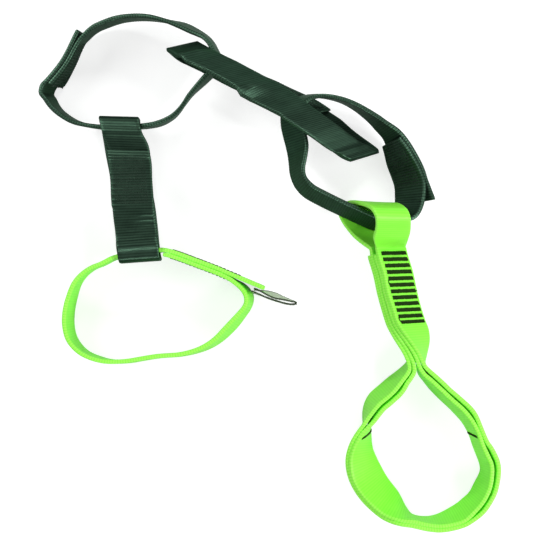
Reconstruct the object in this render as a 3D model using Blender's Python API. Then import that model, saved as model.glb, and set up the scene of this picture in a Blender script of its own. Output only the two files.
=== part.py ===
"""Daisy chain: six sewn webbing links in a chain, laid on a flat surface.

Link 1 is the tie-in link, links 2 to 5 are the middle links and link 6 is the end link.
Lengths below are in millimetres. The scene is in metres, with +Z up and the surface at Z = 0.
"""
import math

import bmesh
import bpy
import numpy as np

MM = 0.001

# Webbing
WEBBING_WIDTH = 25.0
WEBBING_THICKNESS = 2.4
EDGE_CHAMFER = 0.7
LAYER_GAP = 0.3

# Seams that close the rings
LAP_LENGTH = 34.0
END_LAP_LENGTH = 47.0
LAP_BLEND = 12.0
SEAM_ROWS = 9
SEAM_ROW_LENGTH = 19.0
THREAD = 0.8

# Tie-in link. Its big loop is measured from the neck down, and across.
LOOP_LENGTH = 95.1
LOOP_WIDTH = 79.1
BAR_TACKS = 12
BAR_TACK_PITCH = 3.97
BAR_TACK_LENGTH = 21.0
BAR_TACK_WIDTH = 1.9
BAR_TACK_HEIGHT = 0.9
KEEPER_LENGTH = 19.0
KEEPER_CLEARANCE = 0.5

# Label, a folded tape sewn under the free end of link 6
LABEL_HEIGHT = 17.0
LABEL_THICKNESS = 0.5

# Layers lie this far apart, middle to middle
LAYER_PITCH = WEBBING_THICKNESS + LAYER_GAP

# Room that a link has where it crosses another one, and the room over the leaning second ring
SLACK = 0.5
SLACK_OVER_RING_2 = 8.3

# Lean of the third link: horizontal share of the width direction, upper and lower layer
UPPER_LEAN = 0.78
LOWER_LEAN = 0.88

# The fourth ring rests on the third link's lower layer, and so does the second ring
LEANING_TOP = WEBBING_WIDTH * math.sqrt(1.0 - LOWER_LEAN ** 2) + WEBBING_THICKNESS * LOWER_LEAN
RING_4_LIFT = LEANING_TOP + LAYER_GAP + 1.6
RING_2_LIFT = LEANING_TOP + LAYER_GAP + 0.9

# Samples of the smooth curve between two stations, and the spacing of the finished rings
CURVE_STEPS = 12
RING_STEP = 4.0
FOLD_STEP = 2.5


def unit(vector):
    """The vectors scaled to length one, along the last axis."""
    vector = np.asarray(vector, float)
    return vector / np.linalg.norm(vector, axis=-1, keepdims=True)


def station(x, y, base, way):
    """A point of a ribbon whose lowest corner is at height base, and its width direction."""
    way = unit(way)
    flat = math.sqrt(max(0.0, 1.0 - way[2] ** 2))
    z = base + abs(way[2]) * WEBBING_WIDTH / 2 + flat * WEBBING_THICKNESS / 2
    return [x, y, z, *way]


def leaning(points, clockwise=False):
    """Stations of a closed ring that stands on its edge: x, y, base and outward lean in degrees."""
    rows = []
    for i, (x, y, base, lean) in enumerate(points):
        before = points[i - 1]
        after = points[(i + 1) % len(points)]
        along = unit((after[0] - before[0], after[1] - before[1]))
        out = math.sin(math.radians(-lean if clockwise else lean))
        way = (out * along[1], -out * along[0], math.cos(math.radians(lean)))
        rows.append(station(x, y, base, way))
    return rows


def curve(rows, closed):
    """Finely sampled points and width directions on the smooth curve through the stations."""
    rows = np.array(rows, float)
    count = len(rows)
    found = []
    for i in range(count if closed else count - 1):
        spots = [i - 1, i, i + 1, i + 2]
        spots = [s % count if closed else min(max(s, 0), count - 1) for s in spots]
        a, b, c, d = rows[spots]
        for j in range(CURVE_STEPS):
            u = j / CURVE_STEPS
            bend = (2 * a - 5 * b + 4 * c - d) * u ** 2 + (3 * b - a - 3 * c + d) * u ** 3
            found.append(0.5 * (2 * b + (c - a) * u + bend))
    found.append(found[0] if closed else rows[-1])
    return np.array(found)


class Ribbon:
    """A path with a width direction and a face normal at every point, read by arc length."""

    def __init__(self, rows):
        self.point = rows[:, :3]
        self.way = unit(rows[:, 3:])
        steps = np.linalg.norm(np.diff(self.point, axis=0), axis=1)
        self.arc = np.concatenate([[0.0], np.cumsum(steps)])
        self.length = self.arc[-1]

    def at(self, arc):
        """Point, tangent, width direction and face normal at each arc length."""
        arc = np.atleast_1d(arc)

        def read(values, where):
            return np.stack([np.interp(where, self.arc, values[:, k]) for k in range(3)], axis=1)

        point = read(self.point, arc)
        reach = 0.8
        ahead = read(self.point, np.minimum(arc + reach, self.length))
        behind = read(self.point, np.maximum(arc - reach, 0.0))
        tangent = unit(ahead - behind)
        way = unit(read(self.way, arc))
        return point, tangent, way, unit(np.cross(tangent, way))

    def nearest(self, x, y, after=0.0):
        """Arc length of the point nearest to x, y in plan, past the given arc length."""
        away = np.hypot(self.point[:, 0] - x, self.point[:, 1] - y)
        away[self.arc < after] = 1e9
        return self.arc[int(np.argmin(away))]


def lapped(rows, seam_x, seam_y, outer, step=RING_STEP, straight=0.0, tail=0.0, lap=LAP_LENGTH):
    """Open ribbon that runs once round a closed ring and laps over its own start at the seam.

    The points of both layers lie at the same places along the lap. The last millimetres of the
    outer end run straight, and can stick out past the lap.
    """
    loop = Ribbon(curve(rows, True))
    length = loop.length
    seam = loop.nearest(seam_x, seam_y)
    step = length / round(length / step)
    first = -round(lap / 2 / step)
    last = round(length / step) - first - round(straight / step)
    arc = seam + step * np.arange(first, last + 1)
    points = np.vstack([loop.point[:-1]] * 3 + [loop.point[-1:]])
    ways = np.vstack([loop.way[:-1]] * 3 + [loop.way[-1:]])
    point, _, way, normal = Ribbon(np.hstack([points, ways])).at(arc + length)
    ease_in = np.clip((arc - seam - lap / 2) / LAP_BLEND, 0, 1)
    ease_out = np.clip((seam + length - lap / 2 - arc) / LAP_BLEND, 0, 1)
    smooth_in = ease_in ** 2 * (3 - 2 * ease_in)
    smooth_out = ease_out ** 2 * (3 - 2 * ease_out)
    shift = outer * LAYER_PITCH / 2 * (smooth_in - smooth_out)
    path = np.hstack([point + shift[:, None] * normal, way])
    if straight + tail > 0:
        ahead = unit((path[-1, :3] - path[-3, :3]) * (1.0, 1.0, 0.0))
        pieces = max(1, round((straight + tail) / step))
        reach = (straight + tail) / pieces * np.arange(1, pieces + 1)[:, None]
        flap = np.hstack([path[-1, :3] + ahead * reach, np.repeat(way[-1:], pieces, axis=0)])
        path = np.vstack([path, flap])
    return Ribbon(path)


def material(name, colour, rough):
    """A plain Principled material."""
    made = bpy.data.materials.new(name)
    made.use_nodes = True
    shader = made.node_tree.nodes["Principled BSDF"]
    shader.inputs["Base Color"].default_value = (*colour, 1.0)
    shader.inputs["Roughness"].default_value = rough
    return made


def mesh_object(name, points, faces, colour, rough=0.8, smooth=True):
    """One named object with its own material, from points in millimetres."""
    mesh = bpy.data.meshes.new(name)
    mesh.from_pydata([tuple(p * MM) for p in np.asarray(points)], [], faces)
    body = bmesh.new()
    body.from_mesh(mesh)
    bmesh.ops.recalc_face_normals(body, faces=body.faces)
    for face in body.faces:
        face.smooth = smooth
    for edge in body.edges:
        edge.smooth = edge.calc_face_angle(0.0) < math.radians(50)
    body.to_mesh(mesh)
    body.free()
    made = bpy.data.objects.new(name, mesh)
    bpy.context.scene.collection.objects.link(made)
    mesh.materials.append(material(name, colour, rough))
    return made


def swept(name, sections, colour, rough=0.8, smooth=True):
    """A solid through a row of equal sections, closed at both ends.

    Every quad is split along the diagonal that starts on the first half of the section, so two
    layers that twist together stay parallel.
    """
    sides = len(sections[0])
    points = np.concatenate(sections)
    faces = [tuple(range(sides))[::-1]]
    for i in range(len(sections) - 1):
        for j in range(sides):
            a = i * sides + j
            b = i * sides + (j + 1) % sides
            c = b + sides
            d = a + sides
            if j < sides / 2:
                faces += [(a, b, c), (a, c, d)]
            else:
                faces += [(a, b, d), (b, c, d)]
    last = (len(sections) - 1) * sides
    faces.append(tuple(range(last, last + sides)))
    return mesh_object(name, points, faces, colour, rough, smooth)


def webbing(name, ribbon, colour):
    """Flat webbing with softened edges, with one section at each point of the ribbon."""
    half_width = WEBBING_WIDTH / 2
    half_thick = WEBBING_THICKNESS / 2
    inner_width = half_width - EDGE_CHAMFER
    inner_thick = half_thick - EDGE_CHAMFER
    profile = [
        (inner_width, half_thick),
        (half_width, inner_thick),
        (half_width, -inner_thick),
        (inner_width, -half_thick),
        (-inner_width, -half_thick),
        (-half_width, -inner_thick),
        (-half_width, inner_thick),
        (-inner_width, half_thick),
    ]
    point, _, way, normal = ribbon.at(ribbon.arc)
    sections = []
    for p, w, n in zip(point, way, normal):
        sections.append(np.array([p + w * across + n * off for across, off in profile]))
    return swept(name, sections, colour)


def spaced(ribbon, step):
    """Evenly spaced arc lengths from end to end."""
    return np.linspace(0.0, ribbon.length, int(round(ribbon.length / step)) + 1)


def bar(name, ribbon, arc, height, length, colour, across=0.0):
    """A bar tack across the webbing, above (height > 0) or below the ribbon's middle."""
    point, tangent, way, normal = (row[0] for row in ribbon.at(arc))
    side = 1.0 if height > 0 else -1.0
    middle = point + way * across + normal * (height + side * BAR_TACK_HEIGHT / 2)
    half = (BAR_TACK_WIDTH / 2, BAR_TACK_HEIGHT / 2)
    soft = 0.25
    profile = [
        (half[0], half[1] - soft),
        (half[0] - soft, half[1]),
        (soft - half[0], half[1]),
        (-half[0], half[1] - soft),
        (-half[0], -half[1]),
        (half[0], -half[1]),
    ]
    sections = []
    for reach in (-length / 2, length / 2):
        end = middle + way * reach
        sections.append(np.array([end + tangent * a + normal * side * b for a, b in profile]))
    return swept(name, sections, colour, 0.7, False)


def seam(name, ribbon, arc, height, colour):
    """Seam stitching: one thread that runs back and forth across the lap in close rows."""
    rows = []
    step = (LAP_LENGTH - 8.0) / (SEAM_ROWS - 1)
    for i in range(SEAM_ROWS):
        where = arc + (i - (SEAM_ROWS - 1) / 2) * step
        first = SEAM_ROW_LENGTH / 2 * (1 if i % 2 else -1)
        rows += [(where, first), (where, -first)]
    place = np.array(rows)
    point, _, way, normal = ribbon.at(place[:, 0])
    middle = point + way * place[:, 1:] + normal * (height + THREAD / 2)
    ahead = unit(np.diff(middle, axis=0))
    sections = []
    for i, p in enumerate(middle):
        before = ahead[max(i - 1, 0)]
        after = ahead[min(i, len(ahead) - 1)]
        run = unit(before + after)
        side = unit(np.cross(run, normal[i]))
        mitre = THREAD / 2 / max(0.5, float(np.dot(run, after)))
        up = normal[i] * THREAD / 2
        corners = [side * mitre + up, side * mitre - up, -side * mitre - up, -side * mitre + up]
        sections.append(np.array([p + c for c in corners]))
    return swept(name, sections, colour, 0.7, False)


DARK = (0.012, 0.026, 0.020)
LIME = (0.20, 1.0, 0.045)
BLACK = (0.010, 0.022, 0.008)
WHITE = (0.58, 0.68, 0.65)


def near(x, y, spot, width):
    """Share that is 1 at the spot in plan and falls smoothly to 0 away from it."""
    return math.exp(-((x - spot[0]) ** 2 + (y - spot[1]) ** 2) / width ** 2)


def ring_4_base(x):
    """Height of the fourth ring's lower edge: flat at the left, lifted by link 3 at the right."""
    share = (x + 136.3) / 104.4
    return RING_4_LIFT * max(0.0, share) ** 1.5


def ring_4():
    """The upright ring at the upper left."""
    plan = [
        (-136.1, 111.2), (-132.0, 115.6), (-128.2, 120.6), (-124.4, 126.4), (-121.4, 131.8),
        (-118.6, 137.8), (-115.2, 143.2), (-109.2, 147.8), (-100.9, 151.5), (-91.7, 154.4),
        (-82.0, 155.4), (-72.2, 154.9), (-62.6, 152.8), (-53.9, 150.1), (-46.1, 146.3),
        (-38.1, 141.5), (-34.2, 136.2), (-31.9, 130.4), (-33.4, 123.0), (-38.9, 117.0),
        (-47.6, 108.2), (-52.6, 101.5), (-58.3, 95.2), (-66.6, 90.9), (-75.4, 89.3),
        (-83.4, 88.9), (-92.6, 88.8), (-102.5, 89.0), (-111.1, 90.2), (-118.5, 92.1),
        (-125.5, 96.1), (-130.7, 100.6), (-134.3, 106.1),
    ]
    rows = []
    for x, y in plan:
        far = near(x, y, (-50.0, 149.0), 13.0)
        lap_start = near(x, y, (-131.5, 114.5), 9.0)
        lap_end = near(x, y, (-114.0, 143.5), 14.0)
        kink = near(x, y, (-51.5, 102.0), 13.0)
        over = -0.095 - 0.06 * far - 0.14 * lap_start + 0.085 * lap_end + 0.10 * kink
        back = -0.045 - 0.13 * far - 0.08 * kink
        way = (over, back, 0.99)
        rows.append(station(x, y, ring_4_base(x), way))
    return rows


def ring_2():
    """The ring at the right. It leans over to the right and its left end rests on link 3."""
    plan = [
        (13.3, 98.9, 0.42, -0.02), (13.0, 92.3, 0.46, 0.05), (14.5, 85.2, 0.48, 0.08),
        (16.6, 76.3, 0.46, 0.10), (16.9, 69.1, 0.38, 0.10), (16.6, 61.9, 0.29, 0.11),
        (18.4, 55.3, 0.22, 0.16), (23.5, 49.7, 0.19, 0.20), (31.4, 45.3, 0.14, 0.23),
        (39.9, 41.2, 0.12, 0.24), (48.5, 37.3, 0.12, 0.24), (57.1, 33.5, 0.14, 0.24),
        (65.7, 30.2, 0.20, 0.22), (73.8, 30.0, 0.35, 0.15), (81.3, 33.4, 0.52, 0.05),
        (84.6, 39.8, 0.60, 0.00), (86.6, 47.3, 0.67, 0.03), (86.5, 54.6, 0.67, 0.09),
        (83.8, 62.5, 0.65, 0.15), (80.7, 69.2, 0.58, 0.18), (76.9, 77.6, 0.42, 0.16),
        (72.6, 84.5, 0.28, 0.12), (66.4, 91.1, 0.18, 0.07), (59.6, 96.4, 0.12, 0.02),
        (52.2, 101.1, 0.10, -0.03), (44.2, 104.7, 0.12, -0.07), (35.0, 106.8, 0.18, -0.09),
        (26.6, 106.9, 0.26, -0.09), (19.3, 104.5, 0.36, -0.06),
    ]
    right = max(x for x, _, _, _ in plan)
    slope = RING_2_LIFT / (right - min(x for x, _, _, _ in plan))
    rows = []
    for x, y, over, back in plan:
        way = (over, back, math.sqrt(1.0 - over ** 2 - back ** 2))
        rows.append(station(x, y, slope * (right - x) + 0.4, way))
    return rows


def ring_6():
    """The end ring at the lower left, on its edge. Link 5 runs under its upper end."""
    over = WEBBING_THICKNESS + LAYER_GAP + SLACK
    half = over / 2
    low = 0.0
    return leaning([
        (-96.2, 8.7, over, 0), (-88.9, 10.9, over, 0), (-80.4, 12.1, over, 0),
        (-71.9, 12.9, over, 0), (-63.3, 12.6, over, 0), (-55.0, 10.2, half, 0),
        (-47.0, 7.2, 0.3, 0), (-37.9, 3.8, low, 0), (-29.3, 0.4, low, 0),
        (-22.0, -3.2, low, -1), (-16.2, -7.8, low, -5), (-12.8, -14.5, low, -8),
        (-13.7, -20.0, low, -7), (-17.1, -24.9, low, -8), (-21.4, -30.1, low, -10),
        (-26.3, -35.3, low, -10), (-31.8, -40.5, low, -8), (-37.9, -44.5, low, -6),
        (-45.2, -47.5, low, -4), (-55.0, -49.7, low, -3), (-67.2, -50.6, low, -3),
        (-77.0, -52.1, low, -3), (-86.8, -53.7, low, -3), (-96.6, -54.0, low, -2),
        (-103.9, -52.7, low, 0), (-111.2, -50.0, low, 1), (-116.7, -46.0, low, 3),
        (-121.3, -39.6, low, 5), (-123.2, -31.0, low, 6), (-122.8, -22.5, low, 6),
        (-121.0, -14.5, low, 5), (-118.0, -6.3, low, 3), (-113.4, -0.5, 0.3, 1),
        (-107.6, 3.5, half, 0), (-101.4, 5.9, over, 0),
    ], clockwise=True)


def ring_3():
    """The squashed ring that leans over the ends of the second and fourth rings."""
    across = np.array((-0.944, -0.33, 0.0))
    upper = across * UPPER_LEAN + (0.0, 0.0, math.sqrt(1.0 - UPPER_LEAN ** 2))
    lower = across * LOWER_LEAN + (0.0, 0.0, math.sqrt(1.0 - LOWER_LEAN ** 2))
    over_4 = RING_4_LIFT + WEBBING_WIDTH + LAYER_GAP + SLACK
    over_2 = RING_2_LIFT + 0.9 * WEBBING_WIDTH + LAYER_GAP + SLACK_OVER_RING_2
    low = 0.75
    return [
        station(-52.2, 135.6, 0.64 * over_4, upper),
        station(-41.1, 127.5, 1.06 * over_4, upper),
        station(-29.0, 121.8, 1.05 * over_4, upper),
        station(-14.6, 114.0, 1.04 * over_4, upper),
        station(0.5, 105.7, 1.06 * over_4, upper),
        station(16.1, 94.4, over_2, upper),
        station(31.5, 84.6, 0.80 * over_2, upper),
        station(46.1, 75.8, 0.45 * over_2, upper),
        station(57.1, 71.5, 0.24 * over_2, upper),
        station(52.7, 75.1, 0.07 * over_2, lower),
        station(41.1, 84.0, 0.02 * over_2, lower),
        station(31.3, 92.6, low, lower),
        station(19.1, 101.3, low, lower),
        station(-0.1, 110.3, low, lower),
        station(-15.6, 118.5, low, lower),
        station(-31.2, 126.6, low, lower),
        station(-43.8, 131.6, 0.22 * over_4, lower),
    ]


def ring_5():
    """The flat link round the fourth and sixth rings. Its lower layer lies on the surface."""
    over_4 = ring_4_base(-100.0) + 0.99 * WEBBING_WIDTH + LAYER_GAP + SLACK
    over_6 = WEBBING_WIDTH + WEBBING_THICKNESS + 2 * LAYER_GAP + 2 * SLACK
    tilted = (1.0, -0.04, 0.15)
    level = (1.0, 0.07, 0.0)
    between = (1.0, 0.02, 0.06)
    wall = 93.2
    end = 8.1
    return [
        station(-90.6, wall - 0.8, over_4 - 1.0, tilted),
        station(-90.1, wall - 3.2, over_4, tilted),
        station(-88.2, 84.0, over_4 + 0.2, tilted),
        station(-84.9, 75.0, over_4, tilted),
        station(-83.5, 62.0, 0.5 * over_4 + 0.5 * over_6, between),
        station(-82.4, 43.9, over_6, between),
        station(-80.3, 22.3, over_6, level),
        station(-79.1, end + 3.2, over_6, level),
        station(-78.8, end + 0.8, over_6 - 1.0, level),
        station(-78.7, end, over_6 - 4.0, level),
        station(-79.1, end, 4.0, level),
        station(-79.5, end + 0.8, 1.0, level),
        station(-79.9, end + 3.2, 0.0, level),
        station(-81.2, 23.0, 0.0, level),
        station(-84.0, 45.2, 0.0, level),
        station(-88.5, 72.0, 0.0, level),
        station(-92.0, wall - 3.2, 0.0, (1.0, -0.04, 0.0)),
        station(-92.2, wall - 0.8, 1.0, (1.0, -0.04, 0.0)),
        station(-92.0, wall, 4.0, (1.0, -0.04, 0.0)),
        station(-91.0, wall, over_4 - 4.0, tilted),
    ]


def link_1():
    """The tie-in link: one strip wound twice round the big loop, with a small eye on top."""
    stack = [
        (71.0, 15.4, 50), (72.2, 9.9, 50), (75.4, -0.5, 50), (77.5, -10.8, 50), (79.9, -20.0, 49),
        (82.9, -29.8, 48), (85.6, -35.9, 43), (87.9, -42.6, 30), (89.1, -49.3, 15),
    ]
    loop = [
        (85.6, -57.9, 0.4, -3), (80.4, -64.3, 0.4, -9), (75.8, -69.4, 0.4, -14),
        (70.4, -74.3, 0.4, -15), (65.4, -78.7, 0.4, -14), (62.4, -83.6, 0.4, -10),
        (59.5, -90.9, 0.4, 1), (56.9, -98.4, 0.4, 16), (55.1, -106.7, 0.4, 30),
        (55.5, -114.6, 0.4, 43), (58.4, -123.4, 0.4, 51), (64.2, -132.6, 0.4, 48),
        (72.8, -141.7, 0.4, 38), (80.2, -147.8, 0.4, 17), (86.8, -151.2, 0.4, 2),
        (96.0, -153.0, 0.4, 3), (104.9, -152.4, 0.4, 9), (115.9, -148.4, 0.4, 17),
        (122.3, -144.1, 0.4, 16), (127.6, -139.1, 0.4, 14), (132.1, -131.0, 0.4, 14),
        (134.8, -122.7, 0.4, 9), (134.5, -116.0, 0.4, 10), (131.8, -109.3, 0.4, 9),
        (128.7, -103.2, 0.4, 8), (126.3, -97.1, 0.4, 8), (122.0, -88.5, 0.4, 9),
        (117.7, -83.3, 0.4, 10), (112.2, -78.1, 0.4, 9), (106.7, -73.2, 0.4, 9),
        (101.8, -68.3, 0.4, 8), (96.9, -63.1, 0.4, 5), (93.0, -57.9, 0.4, 0),
    ]
    neck_x, neck_y = (85.6 + 93.0) / 2, -57.9
    wide, tall = np.ptp(np.array(loop)[:, :2], axis=0)
    loop = [
        (neck_x + (x - neck_x) * LOOP_WIDTH / wide, neck_y + (y - neck_y) * LOOP_LENGTH / tall,
         base, lean)
        for x, y, base, lean in loop
    ]
    down = []
    up = []
    for i, (x, y, tilt) in enumerate(stack):
        before = stack[max(i - 1, 0)]
        after = stack[min(i + 1, len(stack) - 1)]
        out = math.sin(math.radians(tilt))
        way = unit((-out, -0.03 * out, math.cos(math.radians(tilt))))
        ahead = unit((after[0] - before[0], after[1] - before[1], 0.0))
        normal = unit(np.cross(ahead, way))
        row = np.array(station(x, y, 1.6 * LAYER_PITCH * out + 0.4, way))
        aside = np.concatenate([normal * LAYER_PITCH, np.zeros(3)])
        down.append(row + aside)
        up.append(row - aside)
    guide = Ribbon(curve(down + leaning(loop) + up[::-1], False))
    arcs = spaced(guide, RING_STEP)
    point, _, way, normal = guide.at(arcs)
    outer = np.hstack([point + normal * LAYER_PITCH / 2, way])
    inner = np.hstack([point - normal * LAYER_PITCH / 2, way])
    eye_way = unit((-0.86, 0.0, 0.5))
    low_way = unit((-0.95, 0.15, 0.26))
    eye = [
        [72.8, 21.0, 28.0, *eye_way],
        [73.8, 26.5, 34.0, *eye_way],
        [73.2, 33.6, 40.5, *eye_way],
        [70.6, 38.6, 38.5, *eye_way],
        [65.8, 41.6, 28.0, *eye_way],
        [59.4, 41.2, 15.0, *low_way],
        [53.8, 37.7, 5.7, *low_way],
        [55.6, 30.5, 4.4, *low_way],
        [62.0, 22.0, 6.0, *low_way],
    ]
    bend = Ribbon(curve(np.vstack([outer[-2:], eye, inner[:2]]), False))
    inside = spaced(bend, RING_STEP)
    first = 1.5 * RING_STEP
    inside = inside[(inside > first) & (inside < bend.length - first)]
    point, _, way, _ = bend.at(inside)
    return guide, Ribbon(np.vstack([outer[1:], np.hstack([point, way]), inner[:-1]]))


def label(name, colour):
    """The folded label: from between the two layers of the seam out past the free end."""
    plan = [
        (-11.0, -11.2, 0.06), (-6.6, -12.9, 0.03), (-1.8, -14.9, 0.0), (3.7, -16.8, 0.0),
        (9.2, -18.4, 0.0), (13.4, -19.0, 0.0), (15.9, -18.6, 0.0), (15.6, -17.6, 0.0),
        (12.8, -16.8, -0.03), (7.9, -15.2, -0.10), (3.1, -13.7, -0.18), (-1.8, -12.1, -0.12),
        (-6.6, -10.5, 0.02), (-9.6, -9.6, 0.06),
    ]
    height = LABEL_HEIGHT / 2 + 5.0
    path = Ribbon(curve([[x, y, height, 0.0, back, 1.0] for x, y, back in plan], False))
    point, _, way, normal = path.at(spaced(path, 2.0))
    up = LABEL_HEIGHT / 2
    out = LABEL_THICKNESS / 2
    corners = [(up, out), (up, -out), (-up, -out), (-up, out)]
    sections = []
    for p, w, n in zip(point, way, normal):
        sections.append(np.array([p + w * across + n * off for across, off in corners]))
    return swept(name, sections, colour, 0.6)


def settle():
    """Lower or raise the whole chain until it touches the surface."""
    meshes = [part.data for part in bpy.data.objects]
    lowest = min(vertex.co.z for mesh in meshes for vertex in mesh.vertices)
    for mesh in meshes:
        for vertex in mesh.vertices:
            vertex.co.z -= lowest


def build():
    """Every sub-part of the chain."""
    for old in list(bpy.data.objects):
        bpy.data.objects.remove(old)
    face = WEBBING_THICKNESS / 2 + LAYER_GAP
    middle = LAP_LENGTH / 2

    guide, strip = link_1()
    webbing("link_1_webbing", strip, LIME)
    first = 4.0
    for i in range(BAR_TACKS):
        arc = guide.length - first - i * BAR_TACK_PITCH
        height = LAYER_PITCH / 2 + face
        bar(f"link_1_bar_tack_{i + 1:02d}", guide, arc, height, BAR_TACK_LENGTH, BLACK)
    for side, x, y in (("left", 60.0, -98.3), ("right", 125.0, -98.0)):
        arc = guide.nearest(x, y)
        height = -LAYER_PITCH / 2 - WEBBING_THICKNESS / 2 - LAYER_GAP - KEEPER_CLEARANCE
        bar(f"link_1_keeper_tack_{side}", guide, arc, height, KEEPER_LENGTH, BLACK)

    ring = lapped(ring_2()[::-1], 81.6, 67.0, -1.0, straight=4.0, tail=9.5)
    webbing("link_2_webbing", ring, DARK)
    seam("link_2_seam_stitching", ring, ring.length - middle - 9.5, -face - THREAD, DARK)

    ring = lapped(ring_3(), 11.2, 104.9, -1.0, step=FOLD_STEP)
    webbing("link_3_webbing", ring, DARK)
    seam("link_3_seam_stitching", ring, ring.length - middle, -face - THREAD, DARK)

    ring = lapped(ring_4(), -123.0, 129.2, -1.0, straight=8.0, tail=3.8)
    webbing("link_4_webbing", ring, DARK)
    seam("link_4_seam_stitching", ring, ring.length - middle - 3.8, -face - THREAD, DARK)

    ring = lapped(ring_5(), -83.4, 56.0, -1.0, step=FOLD_STEP)
    webbing("link_5_webbing", ring, DARK)
    seam("link_5_seam_stitching", ring, middle, face, DARK)

    ring = lapped(ring_6(), -42.0, 5.2, -1.0, straight=8.0, tail=17.0, lap=END_LAP_LENGTH)
    webbing("link_6_webbing", ring, LIME)
    seam("link_6_seam_stitching", ring, ring.length - middle - 17.0, -face - THREAD, BLACK)
    label("link_6_label", WHITE)
    settle()


build()
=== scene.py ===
"""Looks of the daisy chain: woven webbing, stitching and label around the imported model.

Lengths are in millimetres until a mesh is made. The scene is in metres, +Z up.
"""
import math

import bpy
import numpy as np
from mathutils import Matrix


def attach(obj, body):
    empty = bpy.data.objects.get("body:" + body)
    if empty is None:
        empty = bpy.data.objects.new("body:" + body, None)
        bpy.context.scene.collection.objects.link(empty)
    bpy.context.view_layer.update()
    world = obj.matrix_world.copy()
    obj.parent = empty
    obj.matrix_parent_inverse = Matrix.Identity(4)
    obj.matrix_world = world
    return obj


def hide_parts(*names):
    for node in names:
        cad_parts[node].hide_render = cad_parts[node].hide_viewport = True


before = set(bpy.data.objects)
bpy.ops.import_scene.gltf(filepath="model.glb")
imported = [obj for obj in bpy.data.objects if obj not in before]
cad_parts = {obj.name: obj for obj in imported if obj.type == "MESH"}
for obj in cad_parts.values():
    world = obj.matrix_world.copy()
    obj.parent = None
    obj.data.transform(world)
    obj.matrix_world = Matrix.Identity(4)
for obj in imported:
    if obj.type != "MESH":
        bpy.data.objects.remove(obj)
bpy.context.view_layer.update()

MM = 0.001
WHITE = (1.0, 1.0, 1.0)

# Webbing, laps and heights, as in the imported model
WEBBING_WIDTH = 25.0
WEBBING_THICKNESS = 2.4
LAYER_GAP = 0.3
LAYER_PITCH = WEBBING_THICKNESS + LAYER_GAP
LAP_LENGTH = 34.0
END_LAP_LENGTH = 47.0
LAP_BLEND = 12.0
LOOP_LENGTH = 95.1
LOOP_WIDTH = 79.1
SLACK = 0.5
SLACK_OVER_RING_2 = 8.3
UPPER_LEAN = 0.78
LOWER_LEAN = 0.88
LEANING_TOP = WEBBING_WIDTH * math.sqrt(1.0 - LOWER_LEAN ** 2) + WEBBING_THICKNESS * LOWER_LEAN
RING_4_LIFT = LEANING_TOP + LAYER_GAP + 1.6
RING_4_LEFT = -136.3
RING_4_REACH = 104.4
RING_2_LIFT = LEANING_TOP + LAYER_GAP + 0.9
RAISED_BASE = 0.4

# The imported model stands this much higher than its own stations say
SETTLED = 0.2

# Middle of each ring's lap in plan, then how much of its outer end runs straight and sticks out
LAPS = {
    2: (81.6, 67.0, 4.0, 9.5),
    3: (11.2, 104.9, 0.0, 0.0),
    4: (-123.0, 129.2, 8.0, 3.8),
    5: (-83.4, 56.0, 0.0, 0.0),
    6: (-42.0, 5.2, 8.0, 17.0),
}

# Samples between two stations, the spacing of the rings, and how far a tangent looks each way
CURVE_STEPS = 12
SMOOTH_STEPS = 16
RING_STEP = 4.0
FOLD_STEP = 2.5
TANGENT_REACH = 0.8

# The weave: sewn layers touch, so the webbing fills the gap that its plain solid leaves.
# Its ends are sealed, which makes them thinner; its edges are worn and one end has a painted
# highlight.
FULL_THICKNESS = 2.66
RIB_PITCH = 1.6
FLOAT_PITCH = 0.82
SAMPLES_PER_RIB = 5
DARK_RELIEF = 0.09
LIME_RELIEF = 0.05
EDGE_RADIUS = 0.8
EDGE_TURNS = (70, 45, 20, -20, -45, -70)
FACE_POINTS = 13
SEALED_LENGTH = 1.2
SEALED_THICKNESS = 0.62
WORN_EDGE = 1.6
# Reach of the painted highlight on the ribs at each strap's start
PAINTED_END_HIGHLIGHT = 3.2

# Depth of the bump in the cloth and in the thread, in metres
CLOTH_BUMP = 0.00025
THREAD_BUMP = 0.0001

# Where the two plies of the tie-in loop gape, in plan, and by how much on each side.
# Everywhere they are pressed together a little.
SLITS = (
    (90.0, -63.0), (98.0, -72.0), (108.0, -80.5), (117.0, -88.0), (132.0, -110.0), (135.0, -120.0),
    (133.0, -132.0), (126.0, -142.0), (76.0, -69.0), (67.0, -77.5), (61.0, -86.0),
)
SLIT_REACH = 7.0
SLIT_OPENING = 0.85
PLY_PRESS = 0.08

# Bar tacks across the stem, counted from 0 at its upper end. Two have a loose loop of thread
# that runs on to the next tack, and one has a loose end.
BAR_TACKS = 12
BAR_TACK_PITCH = 3.97
BAR_TACK_LENGTH = 21.0
BAR_TACK_WIDTH = 2.9
BAR_TACK_SEED = 10
FIRST_TACK = 4.0
LOOPED_TACKS = (4, 10)
LOOSE_TACK = 6

# Keeper tacks of the tie-in loop: side, place in plan and slant
KEEPER_TACKS = (("left", 60.0, -98.3, 5.2), ("right", 125.0, -98.0, -2.6))
KEEPER_TACK_LENGTH = 21.0
KEEPER_TACK_WIDTH = 2.1
KEEPER_TACK_SEED = 40

# Thread of the tacks: stitch pitch, radius, how far a stitch strays and the tube's sides
TACK_PITCH = 0.62
TACK_THREAD = 0.28
TACK_STRAY = 0.06
TACK_SIDES = 6

# Thread and rows of the seams. The rows fill a lap but for the margin. Link 6's seam has one
# row more, its rows are longer, and it leaves a tail of the strap free.
SEAM_PITCH = 1.3
SEAM_THREAD = 0.17
SEAM_STRAY = 0.16
SEAM_SIDES = 5
SEAM_ROWS = 17
SEAM_ROW_LENGTH = 20.5
SEAM_ROW_WIDTH = 1.5
SEAM_MARGIN = 5.0
END_SEAM_ROWS = 18
END_SEAM_ROW_LENGTH = 22.6
END_SEAM_TAIL = 15.0

# A direction that no thread runs along, and the grain of the thread, per metre
THREAD_SIDE = (0.3, 0.2, 1.0)
THREAD_GRAIN = 1800.0

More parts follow.
